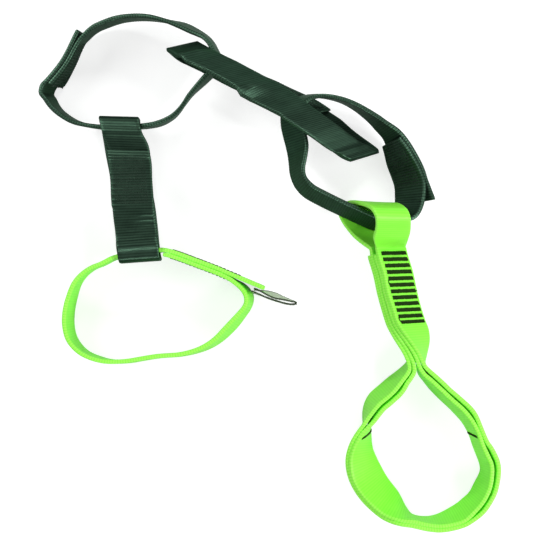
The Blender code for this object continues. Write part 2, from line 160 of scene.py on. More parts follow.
# Label, and the thread wound round its edges
LABEL_HEIGHT = 17.0
LABEL_THICKNESS = 0.5
LABEL_MIDDLE = LABEL_HEIGHT / 2 + 5.0
LABEL_STEP = 0.8
LABEL_POINTS = 18
LABEL_WEAVE = 0.45
LABEL_BORDER = 0.9
EDGING_PITCH = 0.85
EDGING_THREAD = 0.26
EDGING_SIDES = 5
EDGING_STEPS = 8
EDGING_REACH = 0.35
EDGING_INSET = 0.2
EDGING_HEIGHT = 0.42

# Camera and light, in metres, watts and the camera's own units
CAMERA_PLACE = (0.004, -0.002, 1.100)
CAMERA_LENS = 115.81
CAMERA_SENSOR = 36.0
WORLD_STRENGTH = 0.19
LAMP_AIM = (0.0, 0.0, 0.0)
LAMPS = (
    ("lamp_right_low", (1.107, -0.516, 0.445), 0.45, 8.0),
    ("lamp_right_high", (0.966, 0.000, 0.870), 0.5, 4.5),
    ("lamp_left", (-0.837, 0.483, 0.870), 0.6, 7.5),
    ("lamp_far", (0.400, 0.980, 0.800), 0.2, 5.5),
    ("lamp_near", (-0.100, -1.050, 0.800), 0.2, 5.0),
)

# Floor: half its side and its depth in millimetres, its colour, and how bright it looks to
# the camera and, as a share of that, in reflections
FLOOR_REACH = 3000.0
FLOOR_DEPTH = 0.15
FLOOR_COLOUR = (0.46, 0.47, 0.465)
FLOOR_GLOW = 0.74
FLOOR_IN_GLOSS = 0.25


def unit(vector):
    """The vectors scaled to length one, along the last axis."""
    vector = np.asarray(vector, float)
    return vector / np.linalg.norm(vector, axis=-1, keepdims=True)


def station(x, y, base, way):
    """A point of a ribbon whose lowest corner is at height base, and its width direction."""
    way = unit(way)
    flat = math.sqrt(max(0.0, 1.0 - way[2] ** 2))
    z = base + abs(way[2]) * WEBBING_WIDTH / 2 + flat * WEBBING_THICKNESS / 2
    return [x, y, z, *way]


def leaning(points, clockwise=False):
    """Stations of a ring on its edge, from x, y, base and outward lean in degrees."""
    rows = []
    for i, (x, y, base, lean) in enumerate(points):
        before = points[i - 1]
        after = points[(i + 1) % len(points)]
        along = unit((after[0] - before[0], after[1] - before[1]))
        out = math.sin(math.radians(-lean if clockwise else lean))
        way = (out * along[1], -out * along[0], math.cos(math.radians(lean)))
        rows.append(station(x, y, base, way))
    return rows


def curve(rows, closed, steps=CURVE_STEPS):
    """Finely sampled points and width directions on the smooth curve through the stations."""
    rows = np.array(rows, float)
    count = len(rows)
    found = []
    for i in range(count if closed else count - 1):
        spots = [i - 1, i, i + 1, i + 2]
        spots = [s % count if closed else min(max(s, 0), count - 1) for s in spots]
        a, b, c, d = rows[spots]
        for j in range(steps):
            u = j / steps
            bend = (2 * a - 5 * b + 4 * c - d) * u ** 2 + (3 * b - a - 3 * c + d) * u ** 3
            found.append(0.5 * (2 * b + (c - a) * u + bend))
    found.append(found[0] if closed else rows[-1])
    return np.array(found)


class Ribbon:
    """A path with a width direction and a face normal at every point, read by arc length."""

    def __init__(self, rows):
        self.point = rows[:, :3]
        self.way = unit(rows[:, 3:])
        steps = np.linalg.norm(np.diff(self.point, axis=0), axis=1)
        self.arc = np.concatenate([[0.0], np.cumsum(steps)])
        self.length = self.arc[-1]

    def at(self, arc):
        """Point, tangent, width direction and face normal at each arc length."""
        arc = np.atleast_1d(arc)

        def read(values, where):
            return np.stack([np.interp(where, self.arc, values[:, k]) for k in range(3)], axis=1)

        point = read(self.point, arc)
        ahead = read(self.point, np.minimum(arc + TANGENT_REACH, self.length))
        behind = read(self.point, np.maximum(arc - TANGENT_REACH, 0.0))
        tangent = unit(ahead - behind)
        way = unit(read(self.way, arc))
        return point, tangent, way, unit(np.cross(tangent, way))

    def nearest(self, x, y):
        """Arc length of the point nearest to x, y in plan."""
        away = np.hypot(self.point[:, 0] - x, self.point[:, 1] - y)
        return self.arc[int(np.argmin(away))]


def ramp(values, start, width):
    """Share that grows from 0 to 1 over a width from the start, or backwards over a minus one."""
    return np.clip((values - start) / width, 0, 1)


def hump(values, middle, width):
    """Share that is 1 at the middle and falls smoothly to 0 on both sides."""
    return np.exp(-((values - middle) / width) ** 2)


def eased(share):
    """The share held between 0 and 1, with a smooth start and end."""
    share = np.clip(share, 0, 1)
    return share ** 2 * (3 - 2 * share)


def lapped(number, rows, step=RING_STEP, lap=LAP_LENGTH):
    """Open ribbon that runs once round a closed ring and laps over its own start at the seam.

    The points of both layers lie at the same places along the lap. The last millimetres of the
    outer end run straight, and can stick out past the lap.
    """
    seam_x, seam_y, straight, tail = LAPS[number]
    loop = Ribbon(curve(rows, True))
    length = loop.length
    seam = loop.nearest(seam_x, seam_y)
    step = length / round(length / step)
    first = -round(lap / 2 / step)
    last = round(length / step) - first - round(straight / step)
    arc = seam + step * np.arange(first, last + 1)
    points = np.vstack([loop.point[:-1]] * 3 + [loop.point[-1:]])
    ways = np.vstack([loop.way[:-1]] * 3 + [loop.way[-1:]])
    point, _, way, normal = Ribbon(np.hstack([points, ways])).at(arc + length)
    ease_in = eased((arc - seam - lap / 2) / LAP_BLEND)
    ease_out = eased((seam + length - lap / 2 - arc) / LAP_BLEND)
    shift = LAYER_PITCH / 2 * (ease_out - ease_in)
    path = np.hstack([point + shift[:, None] * normal, way])
    if straight + tail > 0:
        ahead = unit((path[-1, :3] - path[-3, :3]) * (1.0, 1.0, 0.0))
        pieces = max(1, round((straight + tail) / step))
        reach = (straight + tail) / pieces * np.arange(1, pieces + 1)[:, None]
        flap = np.hstack([path[-1, :3] + ahead * reach, np.repeat(way[-1:], pieces, axis=0)])
        path = np.vstack([path, flap])
    return Ribbon(path)


def near(x, y, spot, width):
    """Share that is 1 at the spot in plan and falls smoothly to 0 away from it."""
    return np.exp(-((x - spot[0]) ** 2 + (y - spot[1]) ** 2) / width ** 2)


def ring_4_base(x):
    """Height of the fourth ring's lower edge: flat at the left, lifted by link 3 at the right."""
    share = (x - RING_4_LEFT) / RING_4_REACH
    return RING_4_LIFT * max(0.0, share) ** 1.5


def ring_4():
    """The upright ring at the upper left."""
    plan = [
        (-136.1, 111.2), (-132.0, 115.6), (-128.2, 120.6), (-124.4, 126.4), (-121.4, 131.8),
        (-118.6, 137.8), (-115.2, 143.2), (-109.2, 147.8), (-100.9, 151.5), (-91.7, 154.4),
        (-82.0, 155.4), (-72.2, 154.9), (-62.6, 152.8), (-53.9, 150.1), (-46.1, 146.3),
        (-38.1, 141.5), (-34.2, 136.2), (-31.9, 130.4), (-33.4, 123.0), (-38.9, 117.0),
        (-47.6, 108.2), (-52.6, 101.5), (-58.3, 95.2), (-66.6, 90.9), (-75.4, 89.3),
        (-83.4, 88.9), (-92.6, 88.8), (-102.5, 89.0), (-111.1, 90.2), (-118.5, 92.1),
        (-125.5, 96.1), (-130.7, 100.6), (-134.3, 106.1),
    ]
    rows = []
    for x, y in plan:
        far = near(x, y, (-50.0, 149.0), 13.0)
        lap_start = near(x, y, (-131.5, 114.5), 9.0)
        lap_end = near(x, y, (-114.0, 143.5), 14.0)
        kink = near(x, y, (-51.5, 102.0), 13.0)
        over = -0.095 - 0.06 * far - 0.14 * lap_start + 0.085 * lap_end + 0.10 * kink
        back = -0.045 - 0.13 * far - 0.08 * kink
        way = (over, back, 0.99)
        rows.append(station(x, y, ring_4_base(x), way))
    return rows


def ring_2():
    """The ring at the right. It leans over to the right and its left end rests on link 3."""
    plan = [
        (13.3, 98.9, 0.42, -0.02), (13.0, 92.3, 0.46, 0.05), (14.5, 85.2, 0.48, 0.08),
        (16.6, 76.3, 0.46, 0.10), (16.9, 69.1, 0.38, 0.10), (16.6, 61.9, 0.29, 0.11),
        (18.4, 55.3, 0.22, 0.16), (23.5, 49.7, 0.19, 0.20), (31.4, 45.3, 0.14, 0.23),
        (39.9, 41.2, 0.12, 0.24), (48.5, 37.3, 0.12, 0.24), (57.1, 33.5, 0.14, 0.24),
        (65.7, 30.2, 0.20, 0.22), (73.8, 30.0, 0.35, 0.15), (81.3, 33.4, 0.52, 0.05),
        (84.6, 39.8, 0.60, 0.00), (86.6, 47.3, 0.67, 0.03), (86.5, 54.6, 0.67, 0.09),
        (83.8, 62.5, 0.65, 0.15), (80.7, 69.2, 0.58, 0.18), (76.9, 77.6, 0.42, 0.16),
        (72.6, 84.5, 0.28, 0.12), (66.4, 91.1, 0.18, 0.07), (59.6, 96.4, 0.12, 0.02),
        (52.2, 101.1, 0.10, -0.03), (44.2, 104.7, 0.12, -0.07), (35.0, 106.8, 0.18, -0.09),
        (26.6, 106.9, 0.26, -0.09), (19.3, 104.5, 0.36, -0.06),
    ]
    left = min(row[0] for row in plan)
    right = max(row[0] for row in plan)
    slope = RING_2_LIFT / (right - left)
    rows = []
    for x, y, over, back in plan:
        way = (over, back, math.sqrt(1.0 - over ** 2 - back ** 2))
        rows.append(station(x, y, slope * (right - x) + RAISED_BASE, way))
    return rows


def ring_6():
    """The end ring at the lower left, on its edge. Link 5 runs under its upper end."""
    over = WEBBING_THICKNESS + LAYER_GAP + SLACK
    half = over / 2
    low = 0.0
    return leaning([
        (-96.2, 8.7, over, 0), (-88.9, 10.9, over, 0), (-80.4, 12.1, over, 0),
        (-71.9, 12.9, over, 0), (-63.3, 12.6, over, 0), (-55.0, 10.2, half, 0),
        (-47.0, 7.2, 0.3, 0), (-37.9, 3.8, low, 0), (-29.3, 0.4, low, 0),
        (-22.0, -3.2, low, -1), (-16.2, -7.8, low, -5), (-12.8, -14.5, low, -8),
        (-13.7, -20.0, low, -7), (-17.1, -24.9, low, -8), (-21.4, -30.1, low, -10),
        (-26.3, -35.3, low, -10), (-31.8, -40.5, low, -8), (-37.9, -44.5, low, -6),
        (-45.2, -47.5, low, -4), (-55.0, -49.7, low, -3), (-67.2, -50.6, low, -3),
        (-77.0, -52.1, low, -3), (-86.8, -53.7, low, -3), (-96.6, -54.0, low, -2),
        (-103.9, -52.7, low, 0), (-111.2, -50.0, low, 1), (-116.7, -46.0, low, 3),
        (-121.3, -39.6, low, 5), (-123.2, -31.0, low, 6), (-122.8, -22.5, low, 6),
        (-121.0, -14.5, low, 5), (-118.0, -6.3, low, 3), (-113.4, -0.5, 0.3, 1),
        (-107.6, 3.5, half, 0), (-101.4, 5.9, over, 0),
    ], clockwise=True)


def ring_3():
    """The squashed ring that leans over the ends of the second and fourth rings."""
    across = np.array((-0.944, -0.33, 0.0))
    upper = across * UPPER_LEAN + (0.0, 0.0, math.sqrt(1.0 - UPPER_LEAN ** 2))
    lower = across * LOWER_LEAN + (0.0, 0.0, math.sqrt(1.0 - LOWER_LEAN ** 2))
    over_4 = RING_4_LIFT + WEBBING_WIDTH + LAYER_GAP + SLACK
    over_2 = RING_2_LIFT + 0.9 * WEBBING_WIDTH + LAYER_GAP + SLACK_OVER_RING_2
    low = 0.75
    return [
        station(-52.2, 135.6, 0.64 * over_4, upper),
        station(-41.1, 127.5, 1.06 * over_4, upper),
        station(-29.0, 121.8, 1.05 * over_4, upper),
        station(-14.6, 114.0, 1.04 * over_4, upper),
        station(0.5, 105.7, 1.06 * over_4, upper),
        station(16.1, 94.4, over_2, upper),
        station(31.5, 84.6, 0.80 * over_2, upper),
        station(46.1, 75.8, 0.45 * over_2, upper),
        station(57.1, 71.5, 0.24 * over_2, upper),
        station(52.7, 75.1, 0.07 * over_2, lower),
        station(41.1, 84.0, 0.02 * over_2, lower),
        station(31.3, 92.6, low, lower),
        station(19.1, 101.3, low, lower),
        station(-0.1, 110.3, low, lower),
        station(-15.6, 118.5, low, lower),
        station(-31.2, 126.6, low, lower),
        station(-43.8, 131.6, 0.22 * over_4, lower),
    ]


def ring_5():
    """The flat link round the fourth and sixth rings. Its lower layer lies on the surface."""
    over_4 = ring_4_base(-100.0) + 0.99 * WEBBING_WIDTH + LAYER_GAP + SLACK
    over_6 = WEBBING_WIDTH + WEBBING_THICKNESS + 2 * LAYER_GAP + 2 * SLACK
    tilted = (1.0, -0.04, 0.15)
    level = (1.0, 0.07, 0.0)
    between = (1.0, 0.02, 0.06)
    wall = 93.2
    end = 8.1
    return [
        station(-90.6, wall - 0.8, over_4 - 1.0, tilted),
        station(-90.1, wall - 3.2, over_4, tilted),
        station(-88.2, 84.0, over_4 + 0.2, tilted),
        station(-84.9, 75.0, over_4, tilted),
        station(-83.5, 62.0, 0.5 * over_4 + 0.5 * over_6, between),
        station(-82.4, 43.9, over_6, between),
        station(-80.3, 22.3, over_6, level),
        station(-79.1, end + 3.2, over_6, level),
        station(-78.8, end + 0.8, over_6 - 1.0, level),
        station(-78.7, end, over_6 - 4.0, level),
        station(-79.1, end, 4.0, level),
        station(-79.5, end + 0.8, 1.0, level),
        station(-79.9, end + 3.2, 0.0, level),
        station(-81.2, 23.0, 0.0, level),
        station(-84.0, 45.2, 0.0, level),
        station(-88.5, 72.0, 0.0, level),
        station(-92.0, wall - 3.2, 0.0, (1.0, -0.04, 0.0)),
        station(-92.2, wall - 0.8, 1.0, (1.0, -0.04, 0.0)),
        station(-92.0, wall, 4.0, (1.0, -0.04, 0.0)),
        station(-91.0, wall, over_4 - 4.0, tilted),
    ]


def spaced(ribbon, step):
    """Evenly spaced arc lengths from end to end."""
    return np.linspace(0.0, ribbon.length, int(round(ribbon.length / step)) + 1)


def link_1():
    """The tie-in link: one strip wound twice round the big loop, with a small eye on top."""
    stack = [
        (71.0, 15.4, 50), (72.2, 9.9, 50), (75.4, -0.5, 50), (77.5, -10.8, 50), (79.9, -20.0, 49),
        (82.9, -29.8, 48), (85.6, -35.9, 43), (87.9, -42.6, 30), (89.1, -49.3, 15),
    ]
    loop = [
        (85.6, -57.9, -3), (80.4, -64.3, -9), (75.8, -69.4, -14), (70.4, -74.3, -15),
        (65.4, -78.7, -14), (62.4, -83.6, -10), (59.5, -90.9, 1), (56.9, -98.4, 16),
        (55.1, -106.7, 30), (55.5, -114.6, 43), (58.4, -123.4, 51), (64.2, -132.6, 48),
        (72.8, -141.7, 38), (80.2, -147.8, 17), (86.8, -151.2, 2), (96.0, -153.0, 3),
        (104.9, -152.4, 9), (115.9, -148.4, 17), (122.3, -144.1, 16), (127.6, -139.1, 14),
        (132.1, -131.0, 14), (134.8, -122.7, 9), (134.5, -116.0, 10), (131.8, -109.3, 9),
        (128.7, -103.2, 8), (126.3, -97.1, 8), (122.0, -88.5, 9), (117.7, -83.3, 10),
        (112.2, -78.1, 9), (106.7, -73.2, 9), (101.8, -68.3, 8), (96.9, -63.1, 5),
        (93.0, -57.9, 0),
    ]
    neck_x, neck_y = (loop[0][0] + loop[-1][0]) / 2, loop[0][1]
    wide, tall = np.ptp(np.array(loop)[:, :2], axis=0)
    loop = [
        (neck_x + (x - neck_x) * LOOP_WIDTH / wide, neck_y + (y - neck_y) * LOOP_LENGTH / tall,
         RAISED_BASE, lean)
        for x, y, lean in loop
    ]
    down = []
    up = []
    for i, (x, y, tilt) in enumerate(stack):
        before = stack[max(i - 1, 0)]
        after = stack[min(i + 1, len(stack) - 1)]
        out = math.sin(math.radians(tilt))
        way = unit((-out, -0.03 * out, math.cos(math.radians(tilt))))
        ahead = unit((after[0] - before[0], after[1] - before[1], 0.0))
        normal = unit(np.cross(ahead, way))
        row = np.array(station(x, y, 1.6 * LAYER_PITCH * out + RAISED_BASE, way))
        aside = np.concatenate([normal * LAYER_PITCH, np.zeros(3)])
        down.append(row + aside)
        up.append(row - aside)
    guide = Ribbon(curve(down + leaning(loop) + up[::-1], False))
    # The strip runs round twice, with one ply on each side of the guide
    arcs = spaced(guide, RING_STEP)
    point, _, way, normal = guide.at(arcs)
    opened = sum(near(point[:, 0], point[:, 1], spot, SLIT_REACH) for spot in SLITS)
    apart = LAYER_PITCH / 2 - PLY_PRESS + SLIT_OPENING * np.minimum(opened, 1.0)[:, None]
    outer = np.hstack([point + normal * apart, way])
    inner = np.hstack([point - normal * apart, way])
    eye_way = unit((-0.86, 0.0, 0.5))
    low_way = unit((-0.95, 0.15, 0.26))
    eye = [
        [72.8, 21.0, 28.0, *eye_way],
        [73.8, 26.5, 34.0, *eye_way],
        [73.2, 33.6, 40.5, *eye_way],
        [70.6, 38.6, 38.5, *eye_way],
        [65.8, 41.6, 28.0, *eye_way],
        [59.4, 41.2, 15.0, *low_way],
        [53.8, 37.7, 5.7, *low_way],
        [55.6, 30.5, 4.4, *low_way],
        [62.0, 22.0, 6.0, *low_way],
    ]
    bend = Ribbon(curve(np.vstack([outer[-2:], eye, inner[:2]]), False))
    inside = spaced(bend, RING_STEP)
    margin = 1.5 * RING_STEP
    inside = inside[(inside > margin) & (inside < bend.length - margin)]
    point, _, way, _ = bend.at(inside)
    return guide, Ribbon(np.vstack([outer[1:], np.hstack([point, way]), inner[:-1]]))


def label_path():
    """The label's route: from between the two plies of the seam out past the free end and back."""
    plan = [
        (-11.0, -11.2, 0.06), (-6.6, -12.9, 0.03), (-1.8, -14.9, 0.0), (3.7, -16.8, 0.0),
        (9.2, -18.4, 0.0), (13.4, -19.0, 0.0), (15.9, -18.6, 0.0), (15.6, -17.6, 0.0),
        (12.8, -16.8, -0.03), (7.9, -15.2, -0.10), (3.1, -13.7, -0.18), (-1.8, -12.1, -0.12),
        (-6.6, -10.5, 0.02), (-9.6, -9.6, 0.06),
    ]
    return Ribbon(curve([[x, y, LABEL_MIDDLE, 0.0, back, 1.0] for x, y, back in plan], False))


def smoothed(ribbon):
    """The same ribbon on a smooth curve through its points."""
    rows = np.hstack([ribbon.point, ribbon.way])
    return Ribbon(curve(rows, False, SMOOTH_STEPS))


def mesh_object(name, points, faces, paint, marks=None):
    """One named object from points in millimetres. marks are weave coordinates of its points."""
    mesh = bpy.data.meshes.new(name)
    settled = np.asarray(points) + (0.0, 0.0, SETTLED)
    mesh.from_pydata((settled * MM).tolist(), [], faces)
    mesh.polygons.foreach_set("use_smooth", [True] * len(mesh.polygons))
    if marks is not None:
        layer = mesh.attributes.new("weave", "FLOAT_VECTOR", "POINT")
        layer.data.foreach_set("vector", np.asarray(marks, np.float32).ravel())
    mesh.materials.append(paint)
    made = bpy.data.objects.new(name, mesh)
    bpy.context.scene.collection.objects.link(made)
    return made


def stands_for(piece, node):
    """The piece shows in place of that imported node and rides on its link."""
    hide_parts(node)
    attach(piece, node[:len("link_0")])


def swept_faces(rings, sides):
    """Faces of a solid through a row of equal sections, closed at both ends."""
    faces = [tuple(range(sides))[::-1]]
    for i in range(rings - 1):
        for j in range(sides):
            a = i * sides + j
            b = i * sides + (j + 1) % sides
            faces.append((a, b, b + sides, a + sides))
    last = (rings - 1) * sides
    faces.append(tuple(range(last, last + sides)))
    return faces


def swept_object(name, arcs, lines, outline, paint):
    """A closed solid along a ribbon.

    lines holds, for each place across and off of its outline, the points there at all the arcs.
    """
    marks = np.empty((len(arcs), len(lines), 3))
    marks[:, :, 0] = arcs[:, None]
    marks[:, :, 1:] = outline
    points = np.stack(lines, axis=1).reshape(-1, 3)
    faces = swept_faces(len(arcs), len(lines))
    return mesh_object(name, points, faces, paint, marks.reshape(-1, 3))


def section():
    """Outline of the webbing: across, off, and the outward direction on both of these axes."""
    half_thick = FULL_THICKNESS / 2
    flat = WEBBING_WIDTH / 2 - EDGE_RADIUS
    rows = []
    for side in (1.0, -1.0):
        for across in np.linspace(-flat, flat, FACE_POINTS):
            rows.append((side * across, side * half_thick, 0.0, side))
        for turn in EDGE_TURNS:
            out = math.cos(math.radians(turn))
            up = math.sin(math.radians(turn))
            rows.append((side * (flat + EDGE_RADIUS * out), side * half_thick * up,
                         side * out, side * up))
    return np.array(rows)


def no_form(arcs, across):
    """Webbing that is as wide as usual and has no wrinkles: extra width and lift."""
    return 0.0 * arcs, 0.0 * arcs


def webbing(name, ribbon, paint, seed, relief, form=no_form):
    """Ribbed webbing along a ribbon, with real ribs, a round selvage and sealed ends."""
    ribbon = smoothed(ribbon)
    arcs = spaced(ribbon, RIB_PITCH / SAMPLES_PER_RIB)
    point, _, way, normal = ribbon.at(arcs)
    outline = section()
    # Both edges wander in six slow waves, each with a length, a phase and a size
    rng = np.random.default_rng(seed)
    waves = zip(rng.uniform(14, 60, 6), rng.uniform(0, 6.28, 6), rng.uniform(0.03, 0.09, 6))
    slow = sum(np.sin(arcs / wave * 2 * math.pi + phase) * size for wave, phase, size in waves)
    rib = 0.5 - 0.5 * np.cos(arcs / RIB_PITCH * 2 * math.pi)
    from_end = np.minimum(arcs, ribbon.length - arcs)
    seal = ramp(from_end, 0.0, SEALED_LENGTH) ** 0.5
    deep = relief * (1 - rib) * seal
    lines = []
    for across, off, out, up in outline:
        wider, lift = form(arcs, across)
        wide = across * (1 + wider * 2 / WEBBING_WIDTH) + out * (slow - deep * 0.9)
        high = off * (SEALED_THICKNESS + (1 - SEALED_THICKNESS) * seal) - up * deep + lift
        lines.append(point + way * wide[:, None] + normal * high[:, None])
    return swept_object(name, arcs, lines, outline[:, :2], paint)


def tube_path(places, radius, sides):
    """Points of a tube of that radius through the places."""
    places = np.asarray(places)
    ahead = unit(np.gradient(places, axis=0))
    side = unit(np.cross(ahead, THREAD_SIDE))
    up = np.cross(side, ahead)
    turns = np.linspace(0, 2 * math.pi, sides, endpoint=False)
    rings = (side[:, None] * np.cos(turns)[None, :, None]
             + up[:, None] * np.sin(turns)[None, :, None])
    return (places[:, None] + rings * radius).reshape(-1, 3)


def tubes(name, paths, radius, paint, sides=TACK_SIDES):
    """One object made of a tube along each path."""
    points = []
    faces = []
    start = 0
    for path in paths:
        found = tube_path(path, radius, sides)
        points.append(found)
        rings = len(found) // sides
        faces += [tuple(start + k for k in face) for face in swept_faces(rings, sides)]
        start += len(found)
    return mesh_object(name, np.vstack(points), faces, paint)


def zigzag(ribbon, arc, length, width, height, pitch, thread, seed, slant=0.0, stray=TACK_STRAY):
    """Path of a thread that zigzags over a line across the webbing.

    height is the face that it lies on, measured from the ribbon's middle. slant is how far the
    line runs along the webbing from one of its ends to the other. stray is how far a stitch
    lands from its place.
    """
    rng = np.random.default_rng(seed)
    turns = int(length / pitch)
    rows = []
    for i in range(2 * turns + 1):
        reach = i * pitch / 2 - length / 2 + rng.normal(0, stray)
        along = (1 if i % 2 else -1) * (width / 2 - thread) + rng.normal(0, stray)
        lean = slant * reach / length
        # The thread stands up on its way across the line and sinks in where it turns
        rows.append((arc + lean + along * 0.55, reach, thread * 1.1))
        rows.append((arc + lean + along, reach + 0.1 * pitch, thread * 0.5))
    rows = np.array(rows)
    point, _, way, normal = ribbon.at(rows[:, 0])
    side = 1.0 if height > 0 else -1.0
    lift = height + side * rows[:, 2]
    return point + way * rows[:, 1:2] + normal * lift[:, None]


class Nodes:
    """Short hand for a material's node tree."""

    def __init__(self, name):
        self.material = bpy.data.materials.new(name)
        self.material.use_nodes = True
        self.tree = self.material.node_tree
        self.shader = self.tree.nodes["Principled BSDF"]

    def add(self, kind, **settings):
        """A new node with these settings."""
        node = self.tree.nodes.new(kind)
        for key, value in settings.items():
            setattr(node, key, value)
        return node

    def link(self, source, target):
        """A link from an output to an input."""
        self.tree.links.new(source, target)

    def maths(self, kind, *values, clamp=False):
        """The output of a Math node over sockets or numbers."""
        node = self.add("ShaderNodeMath", operation=kind, use_clamp=clamp)
        for socket, value in zip(node.inputs, values):
            if isinstance(value, (int, float)):
                socket.default_value = value
            else:
                self.link(value, socket)
        return node.outputs[0]

    def mix(self, share, first, second):
        """The colour between two, which may be sockets or colours."""
        node = self.add("ShaderNodeMix", data_type="RGBA")
        self.link(share, node.inputs[0])
        for socket, value in ((node.inputs[6], first), (node.inputs[7], second)):
            if isinstance(value, tuple):
                socket.default_value = (*value, 1.0)
            else:
                self.link(value, socket)
        return node.outputs[2]

    def weave(self):
        """The weave coordinates, and the places along and across that they start with."""
        place = self.add("ShaderNodeAttribute", attribute_name="weave").outputs["Vector"]
        split = self.add("ShaderNodeSeparateXYZ")
        self.link(place, split.inputs[0])
        return place, split.outputs[0], split.outputs[1]

    def ridges(self, place, pitch):
        """Rounded ridges over one coordinate, 0 in the grooves between them and 1 on top."""
        wave = self.maths("SINE", self.maths("MULTIPLY", place, math.pi / pitch))
        return self.maths("ABSOLUTE", wave)

    def noise(self, vector, scale, detail):
        """A noise pattern over a vector."""
        node = self.add("ShaderNodeTexNoise")
        self.link(vector, node.inputs["Vector"])
        node.inputs["Scale"].default_value = scale
        node.inputs["Detail"].default_value = detail
        return node.outputs[0]

    def stretched(self, vector, scale):
        """A vector with each part scaled."""
        node = self.add("ShaderNodeMapping")
        self.link(vector, node.inputs["Vector"])
        node.inputs["Scale"].default_value = scale
        return node.outputs[0]

    def finish(self, rough, specular, tint, height, strength, distance):
        """Roughness, gloss and bump of the surface."""
        if isinstance(rough, float):
            self.shader.inputs["Roughness"].default_value = rough
        else:
            self.link(rough, self.shader.inputs["Roughness"])
        self.shader.inputs["Specular IOR Level"].default_value = specular
        self.shader.inputs["Specular Tint"].default_value = (*tint, 1.0)
        bump = self.add("ShaderNodeBump")
        bump.inputs["Strength"].default_value = strength
        bump.inputs["Distance"].default_value = distance
        self.link(height, bump.inputs["Height"])
        self.link(bump.outputs[0], self.shader.inputs["Normal"])


def woven(name, deep, base, light, rough, specular, tint, bump, sheen=0.0, sheen_tint=WHITE,
          lustre=0.0):
    """Ribbed nylon webbing: rows of short warp floats over the ribs, fibre noise and worn edges.

    deep, base and light colour its grooves, as painted shade, its threads, its worn edges and a
    painted highlight at its start. lustre is the share of its gloss that takes its own colour.
    """
    n = Nodes(name)
    place, along, across = n.weave()
    rib = n.ridges(along, RIB_PITCH)
    float_row = n.ridges(across, FLOAT_PITCH)
    surface = n.maths("MULTIPLY", n.maths("MULTIPLY_ADD", float_row, 0.5, 0.5), rib)
    fibre = n.noise(n.stretched(place, (1.3, 6.0, 1.0)), 1.0, 3.0)
    streak = n.noise(n.stretched(place, (0.55, 0.05, 0.2)), 1.0, 2.0)
    blotch = n.noise(place, 0.11, 2.0)
    # How light the cloth is: painted shade in the grooves between ribs and floats, fibres, slow
    # blotches and long streaks
    share = n.maths("MULTIPLY_ADD", fibre, 0.45, n.maths("MULTIPLY", surface, 0.75))
    share = n.maths("MULTIPLY_ADD", blotch, 0.4, n.maths("SUBTRACT", share, 0.40))
    share = n.maths("MULTIPLY_ADD", streak, 0.5, n.maths("SUBTRACT", share, 0.05), clamp=True)
    colour = n.mix(share, deep, base)
    # Worn ribs along both edges, and a painted highlight on the ribs at the strap's start
    edge = n.maths("SUBTRACT", n.maths("ABSOLUTE", across), WEBBING_WIDTH / 2 - WORN_EDGE)
    edge = n.maths("MULTIPLY", edge, 0.7, clamp=True)
    painted_end_highlight = n.maths("MULTIPLY", n.maths("SUBTRACT", PAINTED_END_HIGHLIGHT, along), 0.5, clamp=True)
    edge = n.maths("MAXIMUM", edge, painted_end_highlight)
    wear_and_end_highlight = n.maths("MULTIPLY", n.maths("MULTIPLY", edge, rib), n.maths("ADD", fibre, 0.25))
    n.link(n.mix(wear_and_end_highlight, colour, light), n.shader.inputs["Base Color"])
    n.shader.inputs["Metallic"].default_value = lustre
    n.shader.inputs["Sheen Weight"].default_value = sheen
    n.shader.inputs["Sheen Roughness"].default_value = 0.4
    n.shader.inputs["Sheen Tint"].default_value = (*sheen_tint, 1.0)
    height = n.maths("MULTIPLY_ADD", fibre, 0.35, surface)
    rough = n.maths("MULTIPLY_ADD", fibre, 0.2, rough - 0.1)
    n.finish(rough, specular, tint, height, bump, CLOTH_BUMP)
    return n.material


def thread_paint(name, deep, light, specular):
    """Twisted bonded thread."""
    n = Nodes(name)
    place = n.add("ShaderNodeTexCoord").outputs["Object"]
    noise = n.noise(place, THREAD_GRAIN, 2.0)
    n.link(n.mix(noise, deep, light), n.shader.inputs["Base Color"])
    n.finish(0.6, specular, (0.7, 1.0, 0.8), noise, 0.4, THREAD_BUMP)
    return n.material


def label_paint():
    """Plain label tape: pale, fine cross weave, and a dark woven border along both edges."""
    n = Nodes("label_tape")
    place, along, across = n.weave()
    weave = n.maths("MULTIPLY", n.ridges(along, LABEL_WEAVE), n.ridges(across, LABEL_WEAVE))
    fibre = n.noise(place, 2.2, 3.0)
    cloth = n.mix(fibre, (0.54, 0.67, 0.48), (0.72, 0.82, 0.62))
    border = n.maths("SUBTRACT", n.maths("ABSOLUTE", across), LABEL_HEIGHT / 2 - LABEL_BORDER)
    border = n.maths("MULTIPLY", border, 4.0, clamp=True)
    border = n.maths("MULTIPLY", border, n.maths("MULTIPLY_ADD", fibre, 0.5, 0.6), clamp=True)
    n.link(n.mix(border, cloth, (0.030, 0.050, 0.022)), n.shader.inputs["Base Color"])
    n.finish(0.55, 0.35, WHITE, weave, 0.3, THREAD_BUMP)
    return n.material


DARK = woven("webbing_dark", (0.0080, 0.0165, 0.0115), (0.045, 0.090, 0.060),
             (0.066, 0.130, 0.086), rough=0.34, specular=0.06, tint=(0.26, 0.46, 0.33), bump=0.3,
             lustre=0.68)
LIME = woven("webbing_lime", (0.190, 0.90, 0.032), (0.285, 1.0, 0.062),
             (0.40, 1.0, 0.13), rough=0.44, specular=0.45, tint=(1.0, 1.0, 0.80), bump=0.14,
             sheen=0.05, sheen_tint=(0.9, 1.0, 0.45))
BLACK_THREAD = thread_paint("thread_black", (0.007, 0.022, 0.002), (0.026, 0.058, 0.008), 0.10)
DARK_THREAD = thread_paint("thread_dark", (0.004, 0.008, 0.006), (0.042, 0.078, 0.052), 0.25)
LABEL = label_paint()


def dress(number, ribbon, paint, relief, form=no_form):
    """The webbing of one link, in place of its plain solid."""
    made = webbing(f"link_{number}_woven", ribbon, paint, number, relief, form)
    stands_for(made, f"link_{number}_webbing")


